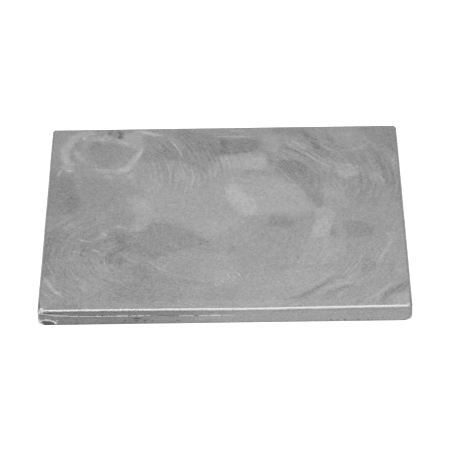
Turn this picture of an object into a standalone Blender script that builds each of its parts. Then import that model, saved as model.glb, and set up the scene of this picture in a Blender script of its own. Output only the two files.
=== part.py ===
"""Granite tooling slab for leather work: one square block of stone, nothing fitted to it.

Metres, +Z up. The origin is the middle of the underside. The front face, which carries
the step left by the saw, looks towards -Y.
"""

from math import atan2

import bmesh
import bpy
from mathutils import Matrix, Vector

# The block, sawn from stone of one thickness
SLAB_LENGTH = 0.305
SLAB_WIDTH = 0.305
SLAB_THICKNESS = 0.015

# Its edges, rubbed down by hand
CORNER_RADIUS = 0.0045
TOP_EASE = 0.0015
BOTTOM_EASE = 0.0018

# The saw step: the upper cut ran a little deeper than the lower one at the left end,
# and came back in line with it further along
STEP_RUN = 0.167
STEP_DEPTH = 0.0010
STEP_HEIGHT = 0.0085

# The chip under the front left corner, as the half axes of the scoop that it left
CHIP_HALF_LENGTH = 0.0080
CHIP_HALF_DEPTH = 0.0016
CHIP_HALF_HEIGHT = 0.0045

CORNER_SEGMENTS = 10
EASE_SEGMENTS = 5
CHIP_SEGMENTS = 24
CUTTER_MARGIN = 0.010

STONE_GREY = (0.34, 0.34, 0.34, 1.0)
STONE_ROUGHNESS = 0.5

UP = Vector((0.0, 0.0, 1.0))


def clear_scene():
    for obj in list(bpy.data.objects):
        bpy.data.objects.remove(obj, do_unlink=True)


def add_collection(name):
    collection = bpy.data.collections.new(name)
    bpy.context.scene.collection.children.link(collection)
    return collection


def add_object(name, bm, collection):
    mesh = bpy.data.meshes.new(name)
    bm.to_mesh(mesh)
    bm.free()
    obj = bpy.data.objects.new(name, mesh)
    collection.objects.link(obj)
    return obj


def box(size, centre):
    """A box as a bmesh, with its true size in the mesh."""
    bm = bmesh.new()
    bmesh.ops.create_cube(bm, size=1.0)
    bmesh.ops.scale(bm, vec=size, verts=bm.verts)
    bmesh.ops.translate(bm, vec=centre, verts=bm.verts)
    return bm


def round_edges(bm, edges, radius, segments):
    bmesh.ops.bevel(
        bm,
        geom=edges,
        offset=radius,
        offset_type="OFFSET",
        segments=segments,
        profile=0.5,
        affect="EDGES",
        clamp_overlap=True,
        material=-1,
    )


def upright_edges(bm):
    return [e for e in bm.edges if abs((e.verts[1].co - e.verts[0].co).normalized().dot(UP)) > 0.99]


def rim_edges(bm, height):
    """The edges round the flat face at this height."""
    tolerance = SLAB_THICKNESS * 0.01
    level = [e for e in bm.edges if all(abs(v.co.z - height) < tolerance for v in e.verts)]
    return [e for e in level if any(abs(f.normal.z) < 0.5 for f in e.link_faces)]


def make_slab(collection):
    """The block with its upright corners rounded, then its upper and lower rims."""
    bm = box((SLAB_LENGTH, SLAB_WIDTH, SLAB_THICKNESS), (0.0, 0.0, SLAB_THICKNESS / 2))
    round_edges(bm, upright_edges(bm), CORNER_RADIUS, CORNER_SEGMENTS)
    bm.normal_update()
    round_edges(bm, rim_edges(bm, SLAB_THICKNESS), TOP_EASE, EASE_SEGMENTS)
    bm.normal_update()
    round_edges(bm, rim_edges(bm, 0.0), BOTTOM_EASE, EASE_SEGMENTS)
    return add_object("slab", bm, collection)


def make_step_cutter(collection):
    """A box whose back face leaves the slab's front face at the end of the step's run."""
    lean = atan2(STEP_DEPTH, STEP_RUN)
    run_out = Vector((STEP_RUN - SLAB_LENGTH / 2, -SLAB_WIDTH / 2, 0.0))
    length = STEP_RUN + 2 * CUTTER_MARGIN
    height = SLAB_THICKNESS - STEP_HEIGHT + CUTTER_MARGIN
    centre = (CUTTER_MARGIN - length / 2, -CUTTER_MARGIN / 2, STEP_HEIGHT + height / 2)
    bm = box((length, CUTTER_MARGIN, height), centre)
    bmesh.ops.rotate(bm, matrix=Matrix.Rotation(-lean, 3, "Z"), verts=bm.verts)
    bmesh.ops.translate(bm, vec=run_out, verts=bm.verts)
    return add_object("step_cutter", bm, collection)


def make_chip_cutter(collection):
    """An ellipsoid centred on the lower front edge, where the corner's rounding begins."""
    bm = bmesh.new()
    bmesh.ops.create_uvsphere(bm, u_segments=CHIP_SEGMENTS, v_segments=CHIP_SEGMENTS // 2, radius=1.0)
    half_axes = (CHIP_HALF_LENGTH, CHIP_HALF_DEPTH, CHIP_HALF_HEIGHT)
    bmesh.ops.scale(bm, vec=half_axes, verts=bm.verts)
    corner = Vector((-SLAB_LENGTH / 2, -SLAB_WIDTH / 2, 0.0))
    bmesh.ops.translate(bm, vec=corner + Vector((CHIP_HALF_LENGTH, 0.0, 0.0)), verts=bm.verts)
    return add_object("chip_cutter", bm, collection)


def hide_cutter(obj):
    obj.hide_render = True
    obj.display_type = "WIRE"


def cut(obj, cutter):
    modifier = obj.modifiers.new(cutter.name, "BOOLEAN")
    modifier.operation = "DIFFERENCE"
    modifier.solver = "EXACT"
    modifier.object = cutter
    hide_cutter(cutter)


def stone_material():
    material = bpy.data.materials.new("honed_grey_granite")
    material.use_nodes = True
    principled = material.node_tree.nodes["Principled BSDF"]
    principled.inputs["Base Color"].default_value = STONE_GREY
    principled.inputs["Roughness"].default_value = STONE_ROUGHNESS
    principled.inputs["Metallic"].default_value = 0.0
    return material


def main():
    clear_scene()
    parts = add_collection("granite_slab")
    cutters = add_collection("cutters")
    slab = make_slab(parts)
    cut(slab, make_step_cutter(cutters))
    cut(slab, make_chip_cutter(cutters))
    slab.data.materials.append(stone_material())


main()
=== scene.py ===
import random
from math import hypot, radians

import bmesh
import bpy
from mathutils import Matrix, Vector, noise


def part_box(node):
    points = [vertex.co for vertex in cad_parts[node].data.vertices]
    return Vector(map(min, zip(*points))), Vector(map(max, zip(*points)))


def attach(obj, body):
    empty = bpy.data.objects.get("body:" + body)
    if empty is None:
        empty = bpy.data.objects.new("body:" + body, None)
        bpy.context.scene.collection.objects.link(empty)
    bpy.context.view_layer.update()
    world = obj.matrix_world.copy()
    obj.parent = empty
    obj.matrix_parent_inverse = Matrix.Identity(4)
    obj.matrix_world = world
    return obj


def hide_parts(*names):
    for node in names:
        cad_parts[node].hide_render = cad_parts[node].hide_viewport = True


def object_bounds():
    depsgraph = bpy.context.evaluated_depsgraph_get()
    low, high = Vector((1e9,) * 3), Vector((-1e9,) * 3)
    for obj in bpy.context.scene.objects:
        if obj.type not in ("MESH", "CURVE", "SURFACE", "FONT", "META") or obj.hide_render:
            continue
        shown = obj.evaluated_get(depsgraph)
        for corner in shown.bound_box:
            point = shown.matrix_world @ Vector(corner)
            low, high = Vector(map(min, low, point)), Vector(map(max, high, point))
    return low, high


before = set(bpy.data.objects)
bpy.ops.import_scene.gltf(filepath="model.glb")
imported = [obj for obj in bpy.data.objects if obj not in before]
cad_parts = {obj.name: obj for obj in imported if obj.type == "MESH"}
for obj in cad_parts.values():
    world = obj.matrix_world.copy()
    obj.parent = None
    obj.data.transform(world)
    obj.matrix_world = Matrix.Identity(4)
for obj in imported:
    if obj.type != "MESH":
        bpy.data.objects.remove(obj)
cad_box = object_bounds()


# The camera
# A long lens well back from the bench, about thirty degrees above it and tipped by one degree,
# as a camera held by hand is.

camera = bpy.data.objects.new("camera", bpy.data.cameras.new("camera"))
bpy.context.scene.collection.objects.link(camera)
bpy.context.scene.camera = camera
camera.data.sensor_width = 36.0
camera.data.lens = 272.1
camera.data.clip_end = 50.0
camera_heading = Matrix.Rotation(radians(0.44), 4, "Z")
camera_pitch = Matrix.Rotation(radians(90.0 - 30.41), 4, "X")
camera_tip = Matrix.Rotation(radians(-1.03), 4, "Z")
camera_place = Matrix.Translation((0.01925, -2.497, 1.469))
camera.matrix_world = camera_place @ camera_heading @ camera_pitch @ camera_tip


# The studio
# A pale table lit from below, so that hardly a shadow falls on it, under a wide soft box in
# front of and above the slab. The soft box is what lights up the slab's eased front edge.

studio = bpy.context.scene
studio.view_settings.view_transform = "Standard"
studio.view_settings.look = "None"

surround = bpy.data.worlds.new("pale_surround")
studio.world = surround
surround.use_nodes = True
surround_light = surround.node_tree.nodes["Background"].inputs
surround_light["Color"].default_value = (1.0, 1.0, 1.0, 1.0)
surround_light["Strength"].default_value = 0.26

soft_box = bpy.data.lights.new("soft_box", "AREA")
soft_box.shape = "RECTANGLE"
soft_box.size = 1.3
soft_box.size_y = 0.7
soft_box.energy = 62.0
soft_box_object = bpy.data.objects.new("soft_box", soft_box)
studio.collection.objects.link(soft_box_object)
soft_box_from = Vector((0.08, -1.15, 2.10))
soft_box_to = Vector((0.0, -0.02, 0.0))
soft_box_turn = (soft_box_to - soft_box_from).to_track_quat("-Z", "Y").to_matrix().to_4x4()
soft_box_object.matrix_world = Matrix.Translation(soft_box_from) @ soft_box_turn

table = bmesh.new()
table_reach = 6.0
table_gap = 0.0002
bmesh.ops.create_grid(table, x_segments=1, y_segments=1, size=table_reach)
bmesh.ops.translate(table, vec=(0.0, 0.0, cad_box[0].z - table_gap), verts=table.verts)
table_mesh = bpy.data.meshes.new("pale_table")
table.to_mesh(table_mesh)
table.free()
table_object = bpy.data.objects.new("pale_table", table_mesh)
studio.collection.objects.link(table_object)
table_paint = bpy.data.materials.new("pale_table_paint")
table_paint.use_nodes = True
table_shader = table_paint.node_tree.nodes["Principled BSDF"].inputs
table_shader["Base Color"].default_value = (0.85, 0.85, 0.85, 1.0)
table_shader["Emission Color"].default_value = (1.0, 1.0, 1.0, 1.0)
table_shader["Emission Strength"].default_value = 0.55
table_shader["Roughness"].default_value = 0.8
table_mesh.materials.append(table_paint)


# The block
# One square of fine grey granite, cut from a sawn slab. Its upright corners are rubbed round,
# one of them less than the others, and its upper and lower edges are eased with a stone.

slab_low, slab_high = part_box("slab")
slab_middle = (slab_low + slab_high) / 2
half_length = (slab_high.x - slab_low.x) / 2
half_width = (slab_high.y - slab_low.y) / 2
thickness = slab_high.z - slab_low.z
corner_radii = {(-1, -1): 0.0045, (1, -1): 0.0045, (1, 1): 0.0035, (-1, 1): 0.0022}
upper_ease = 0.0018
lower_ease = 0.0018
rim_round = 0.0003
hair = 1e-5
front_column = 0.0007
side_column = 0.0012
wall_rows = 24

slab = bmesh.new()
block_size = Matrix.Diagonal((slab_high - slab_low).to_4d())
block_size[3][3] = 1.0
bmesh.ops.create_cube(slab, size=1.0, matrix=Matrix.Translation(slab_middle) @ block_size)


def round_over(edges, radius, segments):
    bmesh.ops.bevel(
        slab, geom=edges, offset=radius, offset_type="OFFSET", segments=segments,
        profile=0.5, affect="EDGES", clamp_overlap=True, material=-1,
    )
    slab.normal_update()


def at_height(element, height):
    return all(abs(v.co.z - height) < hair for v in element.verts)


def is_upright(edge):
    along = edge.verts[1].co - edge.verts[0].co
    return abs(along.z) > 0.9 * along.length


for (side_x, side_y), radius in corner_radii.items():
    corner = [
        e for e in slab.edges
        if is_upright(e) and e.verts[0].co.x * side_x > 0 and e.verts[0].co.y * side_y > 0
        and hypot(abs(e.verts[0].co.x) - half_length, abs(e.verts[0].co.y) - half_width) < hair
    ]
    round_over(corner, radius, 10)

upper_face = next(f for f in slab.faces if at_height(f, slab_high.z))
round_over(list(upper_face.edges), upper_ease, 1)
chamfer_edges = [
    e for e in slab.edges
    if at_height(e, slab_high.z) or at_height(e, slab_high.z - upper_ease)
]
round_over(chamfer_edges, rim_round, 3)
lower_face = next(f for f in slab.faces if at_height(f, slab_low.z))
round_over(list(lower_face.edges), lower_ease, 5)

# The walls are cut into fine columns and rows, so that the saw's step and the chips have
# real shape.
wall_edges = [e for e in slab.edges if is_upright(e) and e.calc_length() > thickness / 2]
bmesh.ops.subdivide_edges(slab, edges=wall_edges, cuts=wall_rows - 1, use_grid_fill=True)


def cut_columns(edges, column):
    cuts = round(2 * half_length / column) - 1
    bmesh.ops.subdivide_edges(slab, edges=edges, cuts=cuts, use_grid_fill=True)


long_edges = [e for e in slab.edges if e.calc_length() > half_length]
front_edges = [e for e in long_edges if e.verts[0].co.y + e.verts[1].co.y < -3 * half_width / 2]
cut_columns(front_edges, front_column)
cut_columns([e for e in slab.edges if e.calc_length() > half_length], side_column)


def lay_flat(height, margin, cell, border=0.0005):
    """Swaps the one big face at this height for a narrow border and a grid of square cells."""
    face = next(f for f in slab.faces if at_height(f, height) and len(f.verts) > 100)
    facing = face.normal.copy()
    bmesh.ops.inset_region(slab, faces=[face], thickness=border, use_even_offset=True)
    bmesh.ops.delete(slab, geom=[face], context="FACES_ONLY")
    half = half_length - margin
    bmesh.ops.create_grid(
        slab, x_segments=round(2 * half / cell), y_segments=round(2 * half / cell), size=half,
        matrix=Matrix.Translation((slab_middle.x, slab_middle.y, height)),
    )
    open_edges = [e for e in slab.edges if e.is_boundary and at_height(e, height)]
    bmesh.ops.triangle_fill(slab, use_beauty=True, edges=open_edges, normal=facing)


lay_flat(slab_high.z, margin=0.0030, cell=0.0017)
lay_flat(slab_low.z, margin=0.0040, cell=0.0030)
bmesh.ops.recalc_face_normals(slab, faces=slab.faces)
slab.normal_update()


# The saw's step
# The slab was parted with two passes of the saw. Along the left of the front face the upper
# pass ran a little deeper, and left a narrow ledge that dies out past the middle.

step_run = 0.167
step_depth = 0.0009
wall_low = slab_low.z + lower_ease
wall_high = slab_high.z - upper_ease - rim_round
row_height = (wall_high - wall_low) / wall_rows
lip_row = 12
foot_row = 13
lip_drop = 0.00012
foot_rise = 0.00010
lip_gap = 0.0003
full_depth = 0.00012
# This mesh colour holds paler chipped stone, painted highlights and painted shade alike.
chipped_and_painted_light = slab.verts.layers.float.new("chipped_and_painted_light")


def outward(point):
    """The way out of the nearest wall, in plan, or nothing well inside the slab."""
    reach = corner_radii[-1, -1]
    inner_x = max(-half_length + reach, min(half_length - reach, point.x))
    inner_y = max(-half_width + reach, min(half_width - reach, point.y))
    out = Vector((point.x - inner_x, point.y - inner_y, 0.0))
    return out.normalized() if out.length > 1e-7 else out


def ease_between(value, start, end):
    share = max(0.0, min(1.0, (value - start) / (end - start)))
    return share * share * (3.0 - 2.0 * share)


def along_front(point):
    """How far from the front left corner: a plus along the front, a minus back along the side."""
    return (point.x + half_length) - (point.y + half_width)


def ledge_height(along):
    """It starts high at the corner, drops quickly, then rises a little where it dies out."""
    start = 0.0032 * (1.0 - ease_between(along, 0.002, 0.016))
    slope = 0.0009 * (1.0 - ease_between(along, 0.018, 0.046))
    dip = 0.0006 * ease_between(along, 0.095, 0.125)
    rise = 0.0004 * ease_between(along, 0.140, 0.165)
    ragged = 0.00016 * noise.noise((along * 260.0, 3.1, 0.0))
    ragged += 0.00010 * noise.noise((along * 900.0, 7.7, 0.0))
    return slab_low.z + 0.0083 + start + slope - dip + rise + ragged


def ledge_depth(along):
    """Deepest near the corner, then less and less as far as the end of its run."""
    steady = 1.0 - ease_between(along, 0.030, step_run)
    last = 1.0 - ease_between(along, step_run * 0.8, step_run)
    return step_depth * (steady * 0.7 + 0.3 * last) * ease_between(along, -0.012, 0.004)


# Where the ledge's lip is painted pale, in millimetres from the corner, and how pale: partly
# chipped pale stone, and partly a painted highlight on the lit lip.
pale_and_highlight_runs = (
    (2, 25, 2.8), (47, 51, 2.6), (55, 61, 1.6), (64, 73, 4.5), (76, 80, 1.6), (82, 87, 4.8), (88, 91, 2.6),
    (115, 127, 3.6), (131, 135, 4.4), (136, 139, 3.2), (140, 149, 7.0), (150, 154, 4.4), (155, 160, 4.0),
)


# Painted highlight: the lip is painted pale along the runs, partly as chipped stone; elsewhere it is
# painted darker, as shade, so that it shows faintly.
def lip_paleness_and_highlight(along):
    ragged = 0.5 + 0.9 * abs(noise.noise((along * 700.0, 1.3, 0.0)))
    here = along * 1000.0 + 0.6 * noise.noise((along * 500.0, 4.1, 0.0))
    return max((pale * ragged for start, end, pale in pale_and_highlight_runs if start < here < end), default=-0.7)


def cut_step(vertex):
    """Sets the wall above the ledge back, and closes up two rows of it as the lip and foot."""
    along = along_front(vertex.co)
    out = outward(vertex.co)
    reach = corner_radii[-1, -1]
    near = vertex.co.y < -half_width + reach or vertex.co.x < -half_length + reach
    if not near or out.length == 0.0 or not -0.02 < along < step_run:
        return
    row = (vertex.co.z - wall_low) / row_height
    depth = ledge_depth(along)
    share = max(0.0, min(1.0, depth / full_depth))
    if 0.0 < row < wall_rows:
        height = ledge_height(along)
        lip, foot = height - lip_drop, height + foot_rise
        if row > foot_row - 0.5:
            moved = foot + (row - foot_row) * (wall_high - foot) / (wall_rows - foot_row)
        elif row > lip_row - 0.5:
            moved = lip
        else:
            moved = wall_low + row * (lip - lip_gap - wall_low) / (lip_row - 1)
        vertex.co.z += (moved - vertex.co.z) * share
    if row > foot_row - 0.5:
        vertex.co -= out * depth
    elif row > lip_row - 0.5:
        ragged = 0.15 + 0.5 * max(0.0, noise.noise((along * 420.0, 11.3, 0.0)))
        vertex.co -= out * depth * ragged
    # The lip rows take the painted highlights and painted shade above; from about 80 mm along, the set-back
    # wall above the ledge is painted darker, as shade.
    if lip_row - 0.5 < row < foot_row + 0.5:
        vertex[chipped_and_painted_light] = share * lip_paleness_and_highlight(along)
    elif foot_row < row < wall_rows + 0.5:
        vertex[chipped_and_painted_light] = -0.4 * share * ease_between(along, 0.080, 0.120)


for vertex in slab.verts:
    cut_step(vertex)


# Chips and rubbing
# Years on the bench have left the walls faintly uneven, nipped the lower front corners and
# broken small chips out of the eased edges. Broken stone shows paler than rubbed stone.

lip_highlight_width = 0.22


def scoop(middle, half_axes, paleness_and_painted_light=1.0, lip=0.0, roughness=0.10):
    """Presses every point inside this ellipsoid out to its surface, as a chip leaves the stone.
    Inside, the stone takes the given paleness, a minus being painted shade in the hollow, and
    above it the lip is painted paler, as a painted highlight.
    """
    middle, half_axes = Vector(middle), Vector(half_axes)
    for vertex in slab.verts:
        away = vertex.co - middle
        if away.length > max(half_axes) * 1.4:
            continue
        scaled = Vector((away.x / half_axes.x, away.y / half_axes.y, away.z / half_axes.z))
        edge = 1.0 + roughness * (noise.noise(vertex.co * 420.0) + 0.6 * noise.noise(vertex.co * 1300.0))
        if 1e-6 < scaled.length < edge:
            vertex.co = middle + away * (edge / scaled.length)
            # The chip takes its paleness; a minus is painted shade in the hollow.
            vertex[chipped_and_painted_light] = paleness_and_painted_light
        # Painted highlight along the lip above the chip.
        elif scaled.length < edge + lip_highlight_width and away.z > 0.0:
            vertex[chipped_and_painted_light] = max(vertex[chipped_and_painted_light], lip)


def round_off(side, half_axes):
    """Rubs the lower front corner on this side to a quarter of an ellipsoid, and paints it darker,
    as shade on the downward facing round.
    """
    middle = Vector((
        side * (half_length - half_axes[0]), half_axes[1] - half_width, slab_low.z + half_axes[2],
    ))
    for vertex in slab.verts:
        away = vertex.co - middle
        if away.x * side <= 0.0 or away.y >= 0.0 or away.z >= 0.0:
            continue
        reach = Vector((away.x / half_axes[0], away.y / half_axes[1], away.z / half_axes[2])).length
        if reach > 1.0:
            vertex.co = middle + away / reach
            # Painted shade on the rubbed corner.
            vertex[chipped_and_painted_light] = -1.2


def light_and_dark_spot(middle, reach, paleness_and_painted_light):
    """A pale spot, or a darker one where it is a minus, painted on without chipping the stone.
    The pale ones at the front corners are painted highlights.
    """
    for vertex in slab.verts:
        away = (vertex.co - Vector(middle)).length
        if away < reach:
            vertex[chipped_and_painted_light] += paleness_and_painted_light * (1.0 - ease_between(away, reach * 0.5, reach))


front = -half_width
left = -half_length
right = half_length
top = slab_high.z
round_off(-1, (0.0050, 0.0060, 0.0034))
round_off(1, (0.0050, 0.0060, 0.0034))

# The chip under the front left corner, painted darker inside as shade, with its lip painted
# pale as a highlight, and the long shallow one above it, painted a little darker as shade.
# The pale spots at the corner and at the end of the chip's lip are painted highlights.
scoop(
    (left + 0.0066, front - 0.0017, 0.0013), (0.0090, 0.0026, 0.0046),
    paleness_and_painted_light=-1.4, lip=4.5, roughness=0.04,
)
scoop((-0.1385, front - 0.0016, 0.0121), (0.0120, 0.0032, 0.0011), paleness_and_painted_light=-0.3)
light_and_dark_spot((left + 0.0014, front + 0.0016, 0.0048), 0.0018, 4.0)
light_and_dark_spot((left + 0.0024, front + 0.0024, top - 0.0006), 0.0034, 4.5)
light_and_dark_spot((left + 0.0012, front + 0.0020, 0.0122), 0.0015, 4.0)
light_and_dark_spot((left + 0.0158, front, 0.0046), 0.0012, 2.4)

# Smaller knocks along the ledge and low on the wall, painted darker inside as shade; the two
# long shallow ones are painted paler, as a painted highlight. Two darker spots sit low on the wall.
scoop((-0.0812, front - 0.0011, 0.0042), (0.0018, 0.0018, 0.0013), paleness_and_painted_light=-0.4, lip=1.8)
scoop((-0.0715, front - 0.0012, 0.0058), (0.0042, 0.0020, 0.0007), paleness_and_painted_light=-1.2)
scoop((-0.0720, front - 0.0012, 0.0036), (0.0022, 0.0018, 0.0006), paleness_and_painted_light=-1.4)
scoop((-0.0655, front - 0.0012, 0.0036), (0.0018, 0.0018, 0.0006), paleness_and_painted_light=-1.2)
scoop((-0.0590, front - 0.0012, 0.0036), (0.0012, 0.0018, 0.0005), paleness_and_painted_light=-1.2)
scoop((-0.0380, front - 0.0012, 0.0034), (0.0028, 0.0018, 0.0006), paleness_and_painted_light=-1.0)
scoop((-0.0500, front - 0.0015, 0.0052), (0.0190, 0.0018, 0.0009), paleness_and_painted_light=0.6)
scoop((-0.1130, front - 0.0015, 0.0047), (0.0300, 0.0018, 0.0009), paleness_and_painted_light=0.6)
light_and_dark_spot((-0.0995, front, 0.0014), 0.0012, -1.4)
light_and_dark_spot((-0.1215, front + 0.0004, 0.0012), 0.0014, -2.0)
low_knocks = ((0.0860, 0.0012), (0.0915, 0.0010), (0.0975, 0.0015), (0.1080, 0.0011), (0.1160, 0.0012))
for knock_x, size in low_knocks:
    scoop((knock_x, front - size * 0.5, 0.0020), (size, size, size * 0.9), paleness_and_painted_light=-0.7)

# The rim: one open nick past the right of the middle, and a painted highlight by the right
# corner, where the rim turns.
scoop((0.0610, front - 0.0004, top + 0.0010), (0.0030, 0.0022, 0.0018), paleness_and_painted_light=1.2)
light_and_dark_spot((right - 0.0026, front + 0.0016, top + 0.0004), 0.0030, 2.2)

# Small chips, scattered along the rims of the other three sides.
random.seed(12)
for _ in range(60):
    side = random.choice(((1, 0), (-1, 0), (0, 1)))
    along = random.uniform(-0.96, 0.96)
    size = random.uniform(0.0009, 0.0022)
    height = top + size * 0.45 if random.random() < 0.5 else slab_low.z - size * 0.45
    x = side[0] * (half_length + size * 0.45) if side[0] else along * half_length
    y = side[1] * (half_width + size * 0.45) if side[1] else along * half_width
    long = size * random.uniform(1.0, 2.2)
    half_axes = (long if side[1] else size, long if side[0] else size, size)
    scoop((x, y, height), half_axes, paleness_and_painted_light=random.random())

# Years of rubbing leave the walls and the work face very slightly uneven.
for vertex in slab.verts:
    out = outward(vertex.co)
    wander = 0.00016 * noise.noise(vertex.co * 24.0) + 0.00007 * noise.noise(vertex.co * 110.0)
    grit = 0.000014 * noise.noise(vertex.co * 700.0)
    vertex.co += out * (wander + grit - 0.00012)
    if vertex.co.z > top - upper_ease:
        hollow = 0.000035 * noise.noise(Vector((vertex.co.x * 22.0, vertex.co.y * 22.0, 4.0)))
        vertex.co.z += min(0.0, hollow - 0.00002)


# Blooms and worn patches
# The work face is paler where leather and hands have polished it, and darker where oil and
# dye have soaked in. The broad soft patches, darker along the left edge and in the back right
# corner and paler towards the front right, also paint the fall of the soft box's light as
# painted light and shade.

# Each patch: how soft its edge is, in millimetres; its strength, a minus where it darkens; and
# its outline, in millimetres from the slab's middle.
dark_stains_and_shade = (
    (5.0, -0.08, ((-50, 70), (-34, 66), (-31, 54), (-42, 50), (-51, 56))),
    (5.0, -0.08, ((92, 128), (106, 130), (110, 118), (100, 110), (90, 116))),
    (5.0, -0.07, ((-131, 4), (-116, 8), (-110, -4), (-122, -10), (-132, -6))),
    (5.0, -0.08, ((-131, -52), (-116, -50), (-111, -64), (-122, -70), (-132, -64))),
    (5.0, -0.06, ((92, 87), (106, 86), (109, 76), (98, 72), (90, 78))),
    (12.0, -0.06, ((-124, -6), (-92, -16), (-60, -60), (-28, -84), (-28, -112), (-60, -112),
        (-108, -82))),
    (6.0, -0.05, ((-153, 104), (-132, 100), (-130, 16), (-153, 16))),
    (9.0, -0.08, ((-153, -20), (-122, -28), (-104, -50), (-108, -80), (-130, -100), (-153, -100))),
    (9.0, -0.06, ((-153, -90), (-100, -90), (-66, -108), (-50, -153), (-153, -153))),
    (9.0, -0.06, ((118, 153), (153, 153), (153, 100), (136, 118))),
    (4.0, -0.19, ((-4, 129), (8, 131), (28, 128), (33, 121), (31, 109), (14, 104), (2, 100),
        (-4, 104))),
    (3.0, -0.14, ((-40, 151), (-28, 143), (-14, 136), (0, 134), (2, 102), (-8, 97), (-13, 88),
        (-17, 72), (-28, 84), (-34, 92), (-37, 104), (-37, 120), (-42, 138))),
    (2.0, -0.14, ((-51, 130), (-45, 117), (-39, 100), (-36, 91), (-43, 93), (-50, 97), (-56, 104),
        (-58, 118))),
    (6.0, -0.07, ((-72, 136), (-60, 136), (-54, 120), (-52, 104), (-62, 92), (-72, 100), (-68, 116))),
    (2.5, -0.12, ((47, 88), (56, 93), (66, 91), (72, 80), (80, 64), (83, 50), (85, 30), (84, 14),
        (79, 10), (72, 22), (66, 36), (60, 48), (53, 60), (46, 72))),
    (4.0, -0.09, ((48, 88), (58, 93), (68, 88), (72, 76), (66, 66), (54, 68))),
    (2.0, -0.14, ((35, 103), (39, 97), (43, 88), (41, 80), (38, 84), (36, 95))),
    (4.0, -0.09, ((18, 75), (34, 73), (46, 74), (50, 66), (32, 68), (18, 69))),
    (2.5, -0.24, ((68, 143), (75, 143), (81, 126), (83, 110), (77, 108), (74, 126))),
    (4.0, -0.12, ((40, 151), (78, 151), (70, 141), (58, 136), (44, 138))),
    (3.0, -0.11, ((80, 113), (90, 110), (98, 103), (94, 88), (86, 95), (80, 105))),
    (3.0, -0.11, ((88, 134), (92, 138), (96, 134), (94, 126), (90, 124))),
    (4.0, -0.12, ((126, 120), (132, 112), (138, 100), (141, 85), (147, 70), (153, 56), (153, 14),
        (144, 16), (141, 40), (138, 60), (133, 80), (130, 95), (125, 108))),
    (8.0, -0.08, ((112, 152), (153, 152), (153, 90), (140, 112), (124, 130))),
    (6.0, -0.07, ((106, 56), (122, 66), (130, 50), (136, 30), (130, 8), (112, 10), (108, 34))),
    (6.0, -0.06, ((104, 112), (118, 104), (126, 90), (120, 82), (106, 88), (98, 98))),
    (5.0, -0.14, ((-153, 78), (-142, 72), (-131, 60), (-126, 42), (-123, 14), (-132, 2), (-153, -4))),
    (4.0, -0.09, ((-136, 30), (-126, 32), (-120, 16), (-124, 4), (-138, 6))),
    (5.0, -0.07, ((-124, 66), (-104, 60), (-94, 40), (-92, 20), (-104, 8), (-122, 12))),
    (4.0, -0.07, ((-100, 4), (-84, 8), (-78, -4), (-80, -16), (-96, -14))),
    (8.0, -0.1, ((-153, 0), (-138, -6), (-132, -30), (-138, -60), (-144, -100), (-153, -110))),
    (2.2, -0.11, ((-78, -28), (-60, -15), (-44, -15), (-34, -24), (-26, -34), (-19, -43), (-13, -50),
        (-24, -57), (-44, -65), (-62, -72), (-70, -68), (-82, -58), (-92, -46), (-92, -34))),
    (3.0, -0.15, ((-103, -70), (-96, -60), (-89, -50), (-82, -55), (-84, -66), (-78, -76), (-86, -83),
        (-98, -81))),
    (4.0, -0.06, ((-99, -28), (-88, -28), (-84, -44), (-92, -54), (-100, -46))),
    (4.0, -0.09, ((-80, -88), (-70, -84), (-62, -95), (-63, -106), (-76, -102))),
    (8.0, -0.06, ((-66, -100), (-30, -112), (-20, -128), (-50, -148), (-90, -140), (-90, -114))),
    (3.0, -0.14, ((38, -6), (54, -4), (60, -14), (58, -26), (46, -24), (36, -20))),
    (4.0, -0.06, ((36, -14), (66, -16), (71, -26), (66, -42), (56, -58), (40, -50), (24, -46),
        (26, -30))),
    (3.0, -0.03, ((8, -58), (54, -52), (65, -60), (60, -78), (48, -96), (20, -99), (6, -82))),
    (3.0, -0.12, ((102, -14), (118, -16), (127, -28), (125, -42), (108, -44), (101, -34))),
    (2.0, -0.15, ((91, -22), (95, -34), (92, -45), (89, -40), (90, -28))),
    (2.0, -0.12, ((3, -50), (9, -56), (8, -66), (2, -66))),
    (2.0, -0.1, ((112, -98), (118, -80), (126, -72), (126, -90), (118, -104))),
    (3.0, -0.12, ((131, -100), (134, -86), (139, -86), (138, -100))),
    (2.0, -0.12, ((46, -142), (58, -137), (70, -125), (84, -109), (94, -100), (99, -106), (86, -116),
        (74, -130), (62, -142))),
    (2.0, -0.14, ((124, -146), (132, -130), (140, -122), (152, -111), (152, -121), (140, -134),
        (130, -148))),
    (3.0, -0.11, ((76, -141), (86, -130), (98, -121), (108, -116), (110, -124), (96, -130),
        (86, -142))),
    (3.0, -0.12, ((-150, -153), (-140, -142), (-120, -142), (-116, -153))),
    (2.0, -0.19, ((-104, 151), (-99, 151), (-99, 138), (-102, 141))),
    (2.0, -0.2, ((-97, 150), (-90, 148), (-90, 133), (-95, 134))),
    (4.0, -0.11, ((-122, 124), (-112, 130), (-100, 126), (-90, 118), (-86, 104), (-92, 90), (-106, 84),
        (-116, 94), (-122, 108))),
    (2.5, -0.1, ((-120, 126), (-110, 128), (-106, 118), (-110, 110), (-119, 114))),
    (2.5, -0.1, ((-131, 128), (-126, 122), (-126, 114), (-131, 108), (-134, 118))),
)
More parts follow.
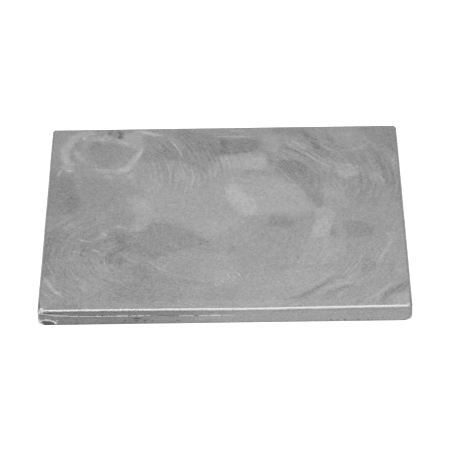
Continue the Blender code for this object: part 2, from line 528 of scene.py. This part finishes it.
pale_polish_and_light = (
    (4.0, 0.08, ((-128, 126), (-116, 127), (-112, 118), (-120, 112), (-128, 116))),
    (5.0, 0.08, ((-92, 67), (-76, 70), (-69, 60), (-76, 50), (-90, 54))),
    (5.0, 0.06, ((-8, 48), (4, 46), (8, 22), (-2, 14), (-10, 26))),
    (5.0, 0.06, ((-28, 106), (-12, 108), (-12, 74), (-26, 72))),
    (12.0, 0.06, ((-6, -8), (30, -18), (110, -10), (86, -80), (20, -98), (-8, -84))),
    (8.0, 0.05, ((28, 48), (60, 52), (106, 48), (108, 26), (72, 28), (30, 30))),
    (8.0, 0.1, ((-82, 94), (-60, 92), (-46, 88), (-34, 76), (-18, 68), (-30, 54), (-66, 58),
        (-82, 74))),
    (9.0, 0.06, ((10, -98), (60, -94), (100, -100), (132, -130), (124, -153), (10, -153))),
    (12.0, 0.12, ((-50, 66), (-20, 60), (0, 98), (34, 96), (44, 72), (60, 42), (78, 6), (60, -6),
        (20, -10), (-10, -44), (-30, -22), (-60, -10), (-76, 14), (-70, 50))),
    (3.0, 0.12, ((-6, 96), (8, 103), (16, 107), (26, 101), (33, 99), (36, 88), (38, 80), (34, 75),
        (22, 76), (8, 78), (-6, 82))),
    (3.0, 0.07, ((14, 88), (20, 95), (33, 94), (36, 82), (28, 77), (17, 81))),
    (2.5, 0.07, ((0, 62), (36, 62), (50, 60), (58, 45), (67, 30), (78, 8), (72, -2), (56, 2), (40, 0),
        (12, -8), (2, 20))),
    (3.0, 0.19, ((0, 36), (6, 50), (12, 46), (16, 34), (24, 24), (29, 10), (24, -3), (15, 0), (9, 14),
        (6, 24))),
    (3.0, 0.11, ((35, 134), (46, 133), (50, 122), (48, 108), (38, 106), (35, 116))),
    (3.0, 0.07, ((52, 130), (60, 132), (72, 114), (72, 104), (62, 108))),
    (2.2, 0.2, ((77, 6), (84, 9), (92, 0), (92, -16), (90, -30), (84, -38), (73, -41), (75, -24),
        (78, -10))),
    (2.5, 0.08, ((72, -38), (90, -40), (100, -50), (102, -76), (88, -84), (70, -96), (48, -102),
        (57, -86), (64, -74), (66, -58), (69, -46))),
    (2.5, 0.19, ((95, 85), (118, 79), (115, 66), (106, 56), (100, 60), (96, 72))),
    (5.0, 0.09, ((82, 36), (92, 40), (102, 30), (105, 8), (96, 2), (83, 4))),
    (4.0, 0.1, ((100, 142), (112, 140), (112, 114), (102, 116), (98, 126))),
    (3.0, 0.1, ((128, 68), (136, 66), (136, 54), (128, 54))),
    (3.0, 0.14, ((-86, 30), (-76, 33), (-64, 22), (-60, 4), (-64, -12), (-68, -29), (-78, -27),
        (-75, 0), (-80, 18))),
    (4.0, 0.06, ((-72, 56), (-60, 60), (-54, 44), (-60, 34), (-72, 42))),
    (3.0, 0.06, ((-36, -22), (-24, -10), (-8, -14), (-4, -46), (-18, -44), (-26, -33))),
    (4.0, 0.06, ((-46, -67), (-30, -60), (0, -68), (14, -90), (0, -112), (-30, -110), (-50, -98),
        (-58, -80))),
    (4.0, 0.1, ((-12, -98), (0, -93), (12, -100), (14, -117), (2, -122), (-8, -116))),
    (4.0, 0.07, ((-34, -120), (-22, -118), (-20, -132), (-32, -134))),
    (3.0, 0.1, ((-108, -64), (-101, -62), (-99, -84), (-94, -100), (-100, -104), (-108, -88))),
    (5.0, 0.06, ((-120, -104), (-104, -100), (-98, -118), (-110, -132), (-122, -120))),
    (3.0, 0.11, ((-104, -24), (-98, -24), (-98, -38), (-104, -37))),
    (4.0, 0.12, ((138, -134), (152, -126), (152, -152), (138, -152))),
    (3.0, 0.1, ((140, -94), (150, -92), (150, -106), (141, -106))),
    (3.0, 0.1, ((134, -36), (146, -36), (144, -52), (134, -56))),
    (3.0, 0.07, ((30, -134), (44, -132), (44, -142), (32, -144))),
    (10.0, 0.05, ((20, -104), (60, -100), (90, -90), (120, -60), (150, -60), (150, -90), (110, -120),
        (30, -126))),
    (2.0, 0.24, ((-78, 150), (-64, 144), (-52, 139), (-56, 136), (-68, 141), (-80, 147))),
    (2.0, 0.26, ((-118, 149), (-128, 144), (-137, 137), (-143, 122), (-145, 104), (-143, 90),
        (-140, 80), (-138, 76), (-131, 76), (-131, 84), (-135, 92), (-137, 106), (-134, 122),
        (-128, 132), (-120, 138), (-112, 142))),
    (1.5, 0.19, ((-124, 138), (-112, 137), (-104, 141), (-100, 133), (-106, 129), (-112, 132),
        (-118, 130), (-126, 132))),
    (2.5, 0.19, ((-101, 134), (-92, 130), (-87, 142), (-78, 147), (-73, 138), (-71, 124), (-72, 112),
        (-80, 114), (-88, 120), (-96, 126))),
    (2.0, 0.26, ((-77, 114), (-72, 112), (-73, 100), (-77, 90), (-79, 82), (-85, 74), (-94, 73),
        (-93, 80), (-85, 88), (-80, 98))),
    (2.0, 0.2, ((-92, 81), (-84, 80), (-82, 72), (-92, 70), (-104, 72), (-110, 77), (-119, 78),
        (-112, 81), (-102, 80))),
    (1.5, 0.19, ((-87, 70), (-80, 70), (-79, 62), (-85, 62))),
    (1.5, 0.14, ((-104, 70), (-96, 68), (-92, 60), (-102, 63))),
    (2.0, 0.15, ((-131, 114), (-126, 113), (-126, 100), (-121, 92), (-126, 90), (-131, 100))),
    (8.0, 0.04, ((-122, 128), (-98, 128), (-84, 110), (-90, 84), (-110, 80), (-128, 92), (-130, 112))),
)


def inside_by(x, y, outline):
    """How far a place is inside an outline, or a minus where it is outside."""
    nearest, inside = 1000.0, False
    for (from_x, from_y), (to_x, to_y) in zip(outline, outline[1:] + outline[:1]):
        run_x, run_y = to_x - from_x, to_y - from_y
        share = ((x - from_x) * run_x + (y - from_y) * run_y) / (run_x * run_x + run_y * run_y)
        share = max(0.0, min(1.0, share))
        nearest = min(nearest, hypot(x - from_x - share * run_x, y - from_y - share * run_y))
        if (from_y > y) != (to_y > y) and x < from_x + (y - from_y) / run_y * run_x:
            inside = not inside
    return nearest if inside else -nearest


use_marks = slab.verts.layers.float.new("use_marks")
noise.seed_set(3)
face_depth = 0.0002
face_places = []
for vertex in slab.verts:
    if vertex.co.z > top - face_depth:
        flat = Vector((vertex.co.x, vertex.co.y, 0.0))
        ragged = 3.0 * noise.noise_vector(flat * 45.0) + 2.0 * noise.noise_vector(flat * 170.0)
        ragged += 1.2 * noise.noise_vector(flat * 480.0)
        face_places.append((vertex, flat.x * 1000.0 + ragged.x, flat.y * 1000.0 + ragged.y))

# Each patch adds to one colour, which holds real marks and painted light and shade alike.
for softness, strength, outline in dark_stains_and_shade + pale_polish_and_light:
    low_x, high_x = min(x for x, y in outline) - softness, max(x for x, y in outline) + softness
    low_y, high_y = min(y for x, y in outline) - softness, max(y for x, y in outline) + softness
    for vertex, x, y in face_places:
        if low_x < x < high_x and low_y < y < high_y:
            inside = inside_by(x, y, outline)
            vertex[use_marks] += strength * ease_between(inside, -0.7 * softness, 0.7 * softness)

# Each face takes its finish: the honed work face, the rubbed edges or the sawn underside.
for face in slab.faces:
    if all(v.co.z > top - face_depth for v in face.verts):
        face.material_index = 0
    elif all(v.co.z < slab_low.z + face_depth for v in face.verts):
        face.material_index = 2
    else:
        face.material_index = 1

# The pad went over the front edge at the end of each stroke and wore it down a little.
for vertex in slab.verts:
    worn = 0.0003 + 0.0010 * (1.0 - ease_between(vertex.co.x, 0.020, 0.130))
    inwards = ease_between(vertex.co.y - front, 0.014, 0.001)
    upwards = ease_between(vertex.co.z, 0.0090, 0.0130)
    vertex.co.z -= worn * inwards * upwards

slab_mesh = bpy.data.meshes.new("slab_stone")
slab.to_mesh(slab_mesh)
slab.free()
slab_mesh.shade_smooth()
slab_object = bpy.data.objects.new("slab_stone", slab_mesh)
studio.collection.objects.link(slab_object)


# The stone
# Fine, even granite: millimetre crystals of pale and dark grey, a few specks of mica and
# feldspar, and no veins.


def connect(tree, made, settings):
    """Sets a node's inputs from numbers or from other nodes' outputs."""
    for name, value in settings.items():
        if isinstance(value, bpy.types.NodeSocket):
            tree.links.new(value, made.inputs[name])
        else:
            made.inputs[name].default_value = value
    return made.outputs


def place(tree, kind, inputs=(), **settings):
    """Adds a node. The inputs are numbers, or outputs of other nodes to link."""
    made = tree.nodes.new(kind)
    for name, value in settings.items():
        setattr(made, name, value)
    connect(tree, made, dict(inputs))
    return made


def new_group(name, inputs, outputs):
    """An empty node group with its sockets, each given as a name and a kind."""
    tree = bpy.data.node_groups.new(name, "ShaderNodeTree")
    for in_out, sockets in (("INPUT", inputs), ("OUTPUT", outputs)):
        for socket, kind in sockets.items():
            tree.interface.new_socket(name=socket, in_out=in_out, socket_type="NodeSocket" + kind)
    return tree, tree.nodes.new("NodeGroupInput").outputs, tree.nodes.new("NodeGroupOutput").inputs


def maths(tree, operation, *values):
    return place(tree, "ShaderNodeMath", enumerate(values), operation=operation).outputs[0]


def vectors(tree, operation, *values):
    made = place(tree, "ShaderNodeVectorMath", enumerate(values), operation=operation)
    return made.outputs["Value" if operation in ("LENGTH", "DISTANCE") else "Vector"]


def fade(tree, value, start, end):
    """One at the start value and nothing at the end value, with a smooth slope between."""
    inputs = {"Value": value, "From Min": start, "From Max": end, "To Min": 1.0, "To Max": 0.0}
    return place(tree, "ShaderNodeMapRange", inputs, interpolation_type="SMOOTHSTEP").outputs["Result"]


def cloud(tree, position, scale, detail=2.0, roughness=0.5):
    """Noise about nothing, from minus a half to plus a half."""
    inputs = {"Vector": position, "Scale": scale, "Detail": detail, "Roughness": roughness}
    made = place(tree, "ShaderNodeTexNoise", inputs, noise_dimensions="3D")
    return maths(tree, "SUBTRACT", made.outputs[0], 0.5)


def wander_off(tree, position, scale, reach, detail=2.0):
    """The position, pushed aside by noise."""
    inputs = {"Vector": position, "Scale": scale, "Detail": detail}
    made = place(tree, "ShaderNodeTexNoise", inputs, noise_dimensions="3D")
    push = vectors(tree, "SUBTRACT", made.outputs["Color"], (0.5, 0.5, 0.5))
    return vectors(tree, "MULTIPLY_ADD", push, (reach, reach, reach), position)


grain_group, grain_in, grain_out = new_group(
    "granite_grain", {"Position": "Vector"}, {"Tone": "Float", "Height": "Float"}
)
crystals = place(grain_group, "ShaderNodeTexVoronoi", {"Vector": grain_in["Position"], "Scale": 900.0})
crystal_tone = maths(grain_group, "SUBTRACT", crystals.outputs["Color"], 0.5)
specks = place(grain_group, "ShaderNodeTexVoronoi", {"Vector": grain_in["Position"], "Scale": 240.0})
speck_shape = fade(grain_group, specks.outputs["Distance"], 0.10, 0.24)
speck_kind = maths(grain_group, "SUBTRACT", specks.outputs["Color"], 0.5)
speck_rare = maths(grain_group, "POWER", maths(grain_group, "ABSOLUTE", speck_kind), 3.0)
speck_tone = maths(grain_group, "MULTIPLY", speck_kind, speck_rare)
speck_tone = maths(grain_group, "MULTIPLY", speck_tone, speck_shape)
mottle = cloud(grain_group, grain_in["Position"], 210.0, 4.0, 0.65)
dust = cloud(grain_group, grain_in["Position"], 1300.0)
grain_tone = maths(grain_group, "MULTIPLY", crystal_tone, 0.36)
grain_tone = maths(grain_group, "MULTIPLY_ADD", speck_tone, 10.0, grain_tone)
grain_tone = maths(grain_group, "MULTIPLY_ADD", mottle, 0.20, grain_tone)
grain_tone = maths(grain_group, "MULTIPLY_ADD", dust, 1.00, grain_tone)
grain_group.links.new(grain_tone, grain_out["Tone"])
grain_height = maths(grain_group, "ADD", dust, crystals.outputs["Distance"])
grain_group.links.new(grain_height, grain_out["Height"])


def start_material(name):
    """A new material: its tree, its shader, the object's coordinates and the grain."""
    material = bpy.data.materials.new(name)
    material.use_nodes = True
    tree = material.node_tree
    coordinates = place(tree, "ShaderNodeTexCoord").outputs["Object"]
    grain = place(tree, "ShaderNodeGroup", node_tree=grain_group)
    tree.links.new(coordinates, grain.inputs["Position"])
    slab_mesh.materials.append(material)
    return tree, tree.nodes["Principled BSDF"], coordinates, grain.outputs


def finish_stone(tree, shader, tone, grey, roughness, height, bump_height):
    """Colours the stone by its tone, makes paler stone a little rougher, and bumps it."""
    tree.links.new(maths(tree, "MULTIPLY_ADD", tone, grey, grey), shader.inputs["Base Color"])
    rough = maths(tree, "MULTIPLY_ADD", tone, 0.20, roughness)
    tree.links.new(rough, shader.inputs["Roughness"])
    bump = place(tree, "ShaderNodeBump", {"Height": height, "Strength": 0.6, "Distance": bump_height})
    tree.links.new(bump.outputs["Normal"], shader.inputs["Normal"])


# The work face
# Rubbed flat with a turning pad, which left sweeps about several turning points. A cup left
# its ring in the far left corner, and cloths and tools left the other strokes.

stroke_group, stroke_in, stroke_out = new_group(
    "rubbed_stroke",
    {"Tone": "Float", "Position": "Vector", "Turning Point": "Vector", "Radius": "Float",
     "Middle": "Vector", "Half Run": "Float", "Half Width": "Float", "Strength": "Float"},
    {"Tone": "Float"},
)
stroke_from = vectors(stroke_group, "DISTANCE", stroke_in["Position"], stroke_in["Turning Point"])
stroke_off = maths(stroke_group, "SUBTRACT", stroke_from, stroke_in["Radius"])
stroke_off = maths(stroke_group, "ABSOLUTE", stroke_off)
stroke_reach = vectors(stroke_group, "DISTANCE", stroke_in["Position"], stroke_in["Middle"])
stroke_reach = maths(stroke_group, "DIVIDE", stroke_reach, stroke_in["Half Run"])
stroke_end = fade(stroke_group, stroke_reach, 0.35, 1.0)
stroke_width = maths(stroke_group, "MULTIPLY", stroke_in["Half Width"], stroke_end)
stroke_shape = fade(stroke_group, stroke_off, 0.0, stroke_width)
stroke_shape = maths(stroke_group, "MULTIPLY", stroke_shape, stroke_end)
stroke_tone = maths(stroke_group, "MULTIPLY_ADD", stroke_shape, stroke_in["Strength"], stroke_in["Tone"])
stroke_group.links.new(stroke_tone, stroke_out["Tone"])


def circle_through(a, b, c):
    """Middle and radius of the circle through three points in plan."""
    a, ab, ac = Vector(a), Vector(b) - Vector(a), Vector(c) - Vector(a)
    cross = 2.0 * (ab.x * ac.y - ab.y * ac.x)
    middle = Vector((
        (ac.y * ab.length_squared - ab.y * ac.length_squared) / cross,
        (ab.x * ac.length_squared - ac.x * ab.length_squared) / cross,
    ))
    return a + middle, middle.length


def add_strokes(tree, tone, position, strokes):
    """Lays strokes over a tone. They are given in millimetres and the tree works in metres."""
    for start, through, end, half_wide, strength in strokes:
        start, through, end = (Vector(point) * 0.001 for point in (start, through, end))
        turning_point, radius = circle_through(start, through, end)
        middle = turning_point + ((start + end) / 2 - turning_point).normalized() * radius
        made = place(tree, "ShaderNodeGroup", node_tree=stroke_group)
        settings = {
            "Tone": tone, "Position": position, "Turning Point": turning_point.to_3d(),
            "Radius": radius, "Middle": middle.to_3d(), "Half Run": (end - start).length / 2,
            "Half Width": half_wide * 0.001, "Strength": strength,
        }
        tone = connect(tree, made, settings)["Tone"]
    return tone


# Finer scratches lie side by side, wherever the pad or a cloth went round.

sweep_group, sweep_in, sweep_out = new_group(
    "fine_sweep",
    {"Tone": "Float", "Position": "Vector", "Turning Point": "Vector", "Middle": "Vector",
     "Reach": "Float", "Strength": "Float"},
    {"Tone": "Float"},
)
sweep_offset = vectors(sweep_group, "SUBTRACT", sweep_in["Position"], sweep_in["Turning Point"])
sweep_radius = vectors(sweep_group, "LENGTH", sweep_offset)
sweep_way = vectors(sweep_group, "NORMALIZE", sweep_offset)
sweep_way = vectors(sweep_group, "MULTIPLY", sweep_way, (2.4, 2.4, 0.0))
sweep_across = maths(sweep_group, "MULTIPLY", sweep_radius, 480.0)
sweep_across = place(sweep_group, "ShaderNodeCombineXYZ", {"Z": sweep_across}).outputs["Vector"]
sweep_lines = cloud(sweep_group, vectors(sweep_group, "ADD", sweep_way, sweep_across), 1.0, 4.0, 0.7)
sweep_gap = vectors(sweep_group, "DISTANCE", sweep_in["Position"], sweep_in["Middle"])
sweep_gap = maths(sweep_group, "DIVIDE", sweep_gap, sweep_in["Reach"])
sweep_broken = cloud(sweep_group, sweep_in["Position"], 35.0)
sweep_area = fade(sweep_group, maths(sweep_group, "MULTIPLY_ADD", sweep_broken, 1.6, sweep_gap), 0.45, 1.05)
sweep_strong = maths(sweep_group, "MULTIPLY", sweep_area, sweep_in["Strength"])
sweep_tone = maths(sweep_group, "MULTIPLY_ADD", sweep_lines, sweep_strong, sweep_in["Tone"])
sweep_group.links.new(sweep_tone, sweep_out["Tone"])

# Each fine sweep: its turning point, the middle of the area it shows in and how far that
# reaches, all in millimetres, and its strength.
fine_sweeps = (
    ((-70, -70), (-122, -66), 75, 1.0),
    ((-170, 60), (-34, 92), 62, 1.0),
    ((10, 50), (78, 98), 52, 1.1),
    ((20, 55), (136, 70), 70, 0.85),
    ((20, -50), (112, -112), 70, 0.65),
    ((-60, -20), (80, -50), 48, 0.45),
    ((0, 0), (-60, -70), 60, 0.35),
    ((0, 0), (0, -110), 70, 0.30),
)

# Single strokes: each an arc through three points, its half width, all in millimetres, and its
# strength, a minus where it darkens.
single_strokes = (
    ((-78, 147), (-64, 141), (-52, 138), 5.0, 0.32),
    ((-52, 136), (-40, 110), (-35, 88), 1.1, 0.44),
    ((-37, 92), (-33, 80), (-27, 68), 1.6, 0.28),
    ((-60, 122), (-56, 117), (-52, 110), 2.2, 0.24),
    ((-61, 134), (-54, 124), (-49, 112), 1.0, 0.2),
    ((-44, 90), (-39, 70), (-42, 45), 1.4, 0.2),
    ((-30, 80), (-27, 62), (-31, 45), 1.2, 0.2),
    ((-20, 78), (-17, 60), (-20, 40), 1.3, 0.24),
    ((-10, 95), (-7, 80), (-12, 58), 1.6, 0.16),
    ((-18, 134), (5, 134.5), (32, 132.5), 2.2, 0.3),
    ((0, 138), (8, 138.4), (18, 137.5), 1.2, -0.28),
    ((0, 145), (10, 144.5), (22, 144), 3.0, 0.2),
    ((41, 90), (53, 64), (78, 12), 1.8, 0.2),
    ((68, 108), (83, 87), (99, 69), 2.2, 0.3),
    ((56, 132), (66, 116), (76, 106), 2.0, 0.18),
    ((93, 84.8), (106, 81.8), (120, 78), 1.2, 0.2),
    ((100, 104), (114, 109), (128, 118), 2.4, 0.22),
    ((140, 100), (147, 86), (146, 72), 1.8, 0.28),
    ((90, 66), (99, 45), (104, 25), 2.0, 0.16),
    ((127, 70), (134, 60), (140, 46), 2.8, 0.16),
    ((-127, -38), (-119, -42), (-108, -45), 1.6, 0.32),
    ((-131, -56), (-123, -62), (-114, -64.5), 1.4, 0.32),
    ((-139, -16), (-134, -23), (-127, -29), 1.2, 0.2),
    ((-142, -36), (-139, -40), (-134, -42), 1.1, 0.18),
    ((-112, -57), (-107, -60), (-103, -64), 3.0, 0.4),
    ((-104, -30), (-101, -33), (-98, -37), 2.8, 0.28),
    ((-95, -20.5), (-88, -22.5), (-81, -24.5), 1.5, 0.36),
    ((-78, -25.8), (-73, -26.2), (-67, -27), 1.3, 0.36),
    ((-88, -64), (-80, -74), (-70, -83), 2.0, 0.24),
    ((-67, -70), (-57, -86), (-42, -99), 2.2, 0.24),
    ((-62, -74.5), (-54, -73.5), (-46, -71), 1.4, 0.2),
    ((-151, -92), (-143, -116), (-126, -138), 2.8, 0.34),
    ((-151, -60), (-146, -85), (-134, -112), 1.4, 0.16),
    ((-150, -118), (-144, -132), (-136, -144), 1.4, 0.18),
    ((-122, -110), (-117, -119), (-110, -128), 1.6, 0.16),
    ((58, -62), (55, -78), (47, -94), 2.0, 0.11),
    ((63, -64), (59, -80), (52, -93), 1.8, -0.10),
    ((76, -119), (64, -129), (46, -136.5), 1.4, 0.20),
    ((92, -104), (76, -124), (50, -142), 3.6, -0.16),
    ((110, -114), (94, -118), (78, -129), 2.4, 0.16),
    ((106, -117), (92, -126), (74, -140), 2.4, -0.14),
    ((142, -112), (131, -127), (116, -144), 2.6, 0.15),
    ((150, -113), (141, -124), (126, -142), 3.2, -0.17),
    ((143, -36), (136, -60), (121, -92), 2.4, 0.18),
    ((-61, -141), (-54, -142), (-46, -143), 1.1, 0.24),
    ((1, -99), (3, -102), (4, -106), 1.1, 0.5),
    ((6, -101), (8, -104), (8, -108), 1.0, 0.45),
    ((10, -98), (12, -101), (13, -104), 1.2, 0.5),
    ((-4, -108), (-2, -111), (-1, -115), 1.1, 0.45),
    ((-9, -114), (-7, -117), (-7, -120), 1.0, 0.4),
    ((-57, 83), (-56.5, 80), (-57, 77), 0.9, 0.4),
    ((55, 135), (70, 112), (88, 86), 1.0, 0.22),
    ((62, 130), (78, 104), (97, 76), 1.0, 0.26),
    ((48, 132), (60, 115), (70, 100), 0.9, 0.22),
    ((-50, 96), (-46, 80), (-48, 60), 1.0, 0.2),
    ((-24, 78), (-22, 62), (-26, 46), 1.0, 0.2),
    ((86, 62), (95, 44), (99, 26), 1.0, 0.2),
)
cup_ring = (
    ((-134, 118), (-138.5, 98), (-135, 80), 3.5, 0.15),
    ((-139.5, 77.5), (-135, 77), (-130.5, 77.8), 1.2, 0.60),
    ((-141, 83), (-143, 73), (-144.5, 62), 1.4, 0.45),
    ((-131, 124), (-130, 108), (-124, 90), 3.0, 0.15),
    ((-116, 90), (-114.5, 86.5), (-111, 83), 1.8, 0.21),
    ((-127, 130), (-124.5, 132.5), (-122.5, 137), 2.2, 0.3),
    ((-111, 127), (-109, 132), (-106, 137), 2.6, 0.27),
    ((-100, 132), (-89, 126.5), (-83, 116), 2.6, 0.26),
    ((-72.5, 124), (-74, 105), (-81, 87), 2.4, 0.3),
    ((-120, 78.5), (-107, 79), (-94, 76), 1.6, 0.3),
    ((-104, 69), (-99, 64), (-95, 59), 2.0, 0.15),
    ((-103, 150), (-102, 144), (-100, 136), 2.2, -0.27),
    ((-94, 148), (-92.5, 141), (-92, 131), 2.6, -0.27),
)

face_tree, face_shader, face_place, face_grain = start_material("honed_face")
face_flat = vectors(face_tree, "MULTIPLY", face_place, (1.0, 1.0, 0.0))
steady = wander_off(face_tree, face_flat, 170.0, 0.0024, 3.0)
ragged = wander_off(face_tree, face_flat, 190.0, 0.0080, 3.0)

face_tone = cloud(face_tree, ragged, 30.0, 5.0, 0.6)
face_tone = maths(face_tree, "MULTIPLY", face_tone, 0.11)
marks = place(face_tree, "ShaderNodeAttribute", attribute_name="use_marks").outputs["Fac"]
break_up = maths(face_tree, "MULTIPLY_ADD", cloud(face_tree, face_flat, 230.0, 4.0, 0.7), 2.0, 1.0)
face_tone = maths(face_tree, "MULTIPLY_ADD", marks, break_up, face_tone)
# The mesh's paleness: paler chipped stone, and painted highlights on the rims at the front corners.
face_chipped_and_painted_light = place(face_tree, "ShaderNodeAttribute", attribute_name="chipped_and_painted_light").outputs["Fac"]
face_tone = maths(face_tree, "MULTIPLY_ADD", face_chipped_and_painted_light, 0.30, face_tone)

for turning_point, middle, reach, strength in fine_sweeps:
    made = place(face_tree, "ShaderNodeGroup", node_tree=sweep_group)
    settings = {
        "Tone": face_tone, "Position": steady, "Turning Point": Vector(turning_point).to_3d() * 0.001,
        "Middle": Vector(middle).to_3d() * 0.001, "Reach": reach * 0.001, "Strength": strength,
    }
    face_tone = connect(face_tree, made, settings)["Tone"]
face_tone = add_strokes(face_tree, face_tone, steady, single_strokes)
face_tone = add_strokes(face_tree, face_tone, ragged, cup_ring)
face_tone = maths(face_tree, "ADD", face_tone, face_grain["Tone"])
finish_stone(face_tree, face_shader, face_tone, 0.285, 0.47, face_grain["Height"], 0.00003)


# The edges
# The walls were sawn and then rubbed smoother than the work face. Painted shade darkens the
# left half of the front, the side and back walls, the front corners, a band under the rim and
# the foot, and the mesh's paleness brings in paler chipped stone, painted highlights and
# painted shade.

edge_tree, edge_shader, edge_place, edge_grain = start_material("rubbed_edge")
edge_tone = maths(edge_tree, "MULTIPLY", cloud(edge_tree, edge_place, 60.0, 4.0, 0.6), 0.16)
edge_chipped_and_painted_light = place(edge_tree, "ShaderNodeAttribute", attribute_name="chipped_and_painted_light").outputs["Fac"]
edge_tone = maths(edge_tree, "MULTIPLY_ADD", edge_chipped_and_painted_light, 0.30, edge_tone)
edge_bent = wander_off(edge_tree, edge_place, 60.0, 0.014)
edge_bent = place(edge_tree, "ShaderNodeSeparateXYZ", {"Vector": edge_bent}).outputs
edge_true = place(edge_tree, "ShaderNodeSeparateXYZ", {"Vector": edge_place}).outputs
on_front = fade(edge_tree, edge_true["Y"], front + 0.0020, front + 0.0040)
from_middle = maths(edge_tree, "ABSOLUTE", edge_true["X"])
off_corners = fade(edge_tree, from_middle, right - 0.0035, right - 0.0009)
on_front = maths(edge_tree, "MULTIPLY", on_front, off_corners)
# Painted shade: the left half of the front is painted darker.
left_front_shade = maths(edge_tree, "MULTIPLY", fade(edge_tree, edge_bent["X"], -0.085, 0.005), on_front)
edge_tone = maths(edge_tree, "MULTIPLY_ADD", left_front_shade, -0.38, edge_tone)
# Painted shade: every wall is painted darker, and the front, away from its corners, is lifted back, so that
# the sides, the back and the front corners stay darker than the front.
edge_tone = maths(edge_tree, "SUBTRACT", edge_tone, 0.36)
edge_tone = maths(edge_tree, "MULTIPLY_ADD", on_front, 0.30, edge_tone)
# Painted shade: a darker band just under the rim.
under_rim_shade = maths(edge_tree, "SUBTRACT", edge_true["Z"], top - 0.0032)
under_rim_shade = maths(edge_tree, "ABSOLUTE", under_rim_shade)
under_rim_shade = fade(edge_tree, under_rim_shade, 0.0004, 0.0016)
edge_tone = maths(edge_tree, "MULTIPLY_ADD", under_rim_shade, -0.10, edge_tone)
# Painted shade: the foot of each wall is painted darker, along the table.
foot_shade = maths(edge_tree, "MULTIPLY_ADD", edge_grain["Tone"], 0.0006, edge_true["Z"])
foot_shade = fade(edge_tree, foot_shade, 0.0003, 0.0022)
edge_tone = maths(edge_tree, "MULTIPLY_ADD", foot_shade, -0.60, edge_tone)
drawn_out = place(edge_tree, "ShaderNodeMapping", {"Vector": edge_place, "Scale": (40.0, 40.0, 800.0)})
saw_marks = cloud(edge_tree, drawn_out.outputs["Vector"], 1.0, 3.0, 0.6)
edge_tone = maths(edge_tree, "MULTIPLY_ADD", saw_marks, 0.34, edge_tone)
edge_tone = maths(edge_tree, "MULTIPLY_ADD", edge_grain["Tone"], 0.65, edge_tone)
edge_height = maths(edge_tree, "MULTIPLY_ADD", saw_marks, 1.0, edge_grain["Height"])
finish_stone(edge_tree, edge_shader, edge_tone, 0.218, 0.30, edge_height, 0.000025)


# The underside
# Left as the gang saw cut it, in faint straight furrows across the slab, and a little darker
# where it has slid about on the bench.

under_tree, under_shader, under_place, under_grain = start_material("sawn_underside")
furrow_bent = wander_off(under_tree, under_place, 12.0, 0.006)
furrow_way = {"Vector": furrow_bent, "Rotation": (0.0, 0.0, 0.06), "Scale": (14.0, 420.0, 14.0)}
furrow_place = place(under_tree, "ShaderNodeMapping", furrow_way)
furrows = cloud(under_tree, furrow_place.outputs["Vector"], 1.0, 4.0, 0.6)
under_tone = maths(under_tree, "MULTIPLY", cloud(under_tree, under_place, 18.0, 5.0, 0.65), 0.30)
under_tone = maths(under_tree, "MULTIPLY_ADD", furrows, 0.26, under_tone)
slid = fade(under_tree, cloud(under_tree, furrow_bent, 40.0, 4.0, 0.7), 0.16, 0.08)
under_tone = maths(under_tree, "MULTIPLY_ADD", slid, -0.06, under_tone)
under_tone = maths(under_tree, "MULTIPLY_ADD", under_grain["Tone"], 1.2, under_tone)
under_height = maths(under_tree, "MULTIPLY_ADD", furrows, 3.0, under_grain["Height"])
finish_stone(under_tree, under_shader, under_tone, 0.270, 0.55, under_height, 0.00012)

# The slab is one piece, and takes the place of the plain one.
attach(slab_object, "root")
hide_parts("slab")
